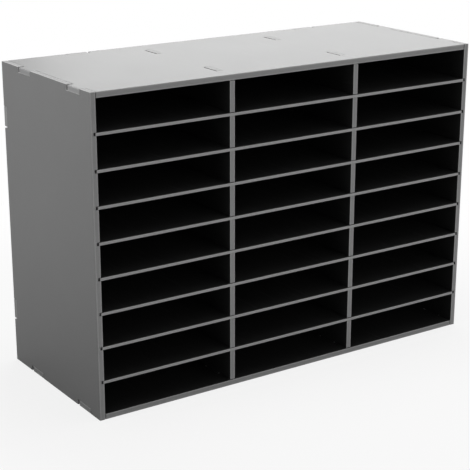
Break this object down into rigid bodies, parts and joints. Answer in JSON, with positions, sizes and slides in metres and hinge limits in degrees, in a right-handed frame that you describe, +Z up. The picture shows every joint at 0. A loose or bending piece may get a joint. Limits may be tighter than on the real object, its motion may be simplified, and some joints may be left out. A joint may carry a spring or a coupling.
{
  "type": "document organizer",
  "caption": "Free-standing board case of open pigeonhole compartments for paper, with upright dividers and thin full-width shelves that slide out of the front.",
  "frame": {"origin": "on the floor, under the middle of the case", "axes": "+X to the right along the open front, +Y from the front to the back, +Z up"},
  "size_m": [0.79, 0.32, 0.555],
  "materials": {
    "outer_board": "satin grey laminate",
    "inner_board": "matt black laminate"
  },
  "bodies": {
    "carcass": {"left_side": "outer_board", "right_side": "outer_board", "top_panel": "outer_board", "bottom_panel": "outer_board", "back_panel": "outer_board", "left_divider": "inner_board", "right_divider": "inner_board"},
    "shelf_1": {"shelf_1": "inner_board"},
    "shelf_2": {"shelf_2": "inner_board"},
    "shelf_3": {"shelf_3": "inner_board"},
    "shelf_4": {"shelf_4": "inner_board"},
    "shelf_5": {"shelf_5": "inner_board"},
    "shelf_6": {"shelf_6": "inner_board"},
    "shelf_7": {"shelf_7": "inner_board"},
    "shelf_8": {"shelf_8": "inner_board"}
  },
  "joints": [
    {"name": "shelf_1_slide", "type": "slide", "parent": "carcass", "child": "shelf_1", "axis": [0, -1, 0], "range_m": [0, 0.2]},
    {"name": "shelf_2_slide", "type": "slide", "parent": "carcass", "child": "shelf_2", "axis": [0, -1, 0], "range_m": [0, 0.2]},
    {"name": "shelf_3_slide", "type": "slide", "parent": "carcass", "child": "shelf_3", "axis": [0, -1, 0], "range_m": [0, 0.2]},
    {"name": "shelf_4_slide", "type": "slide", "parent": "carcass", "child": "shelf_4", "axis": [0, -1, 0], "range_m": [0, 0.2]},
    {"name": "shelf_5_slide", "type": "slide", "parent": "carcass", "child": "shelf_5", "axis": [0, -1, 0], "range_m": [0, 0.2]},
    {"name": "shelf_6_slide", "type": "slide", "parent": "carcass", "child": "shelf_6", "axis": [0, -1, 0], "range_m": [0, 0.2]},
    {"name": "shelf_7_slide", "type": "slide", "parent": "carcass", "child": "shelf_7", "axis": [0, -1, 0], "range_m": [0, 0.2]},
    {"name": "shelf_8_slide", "type": "slide", "parent": "carcass", "child": "shelf_8", "axis": [0, -1, 0], "range_m": [0, 0.2]}
  ]
}
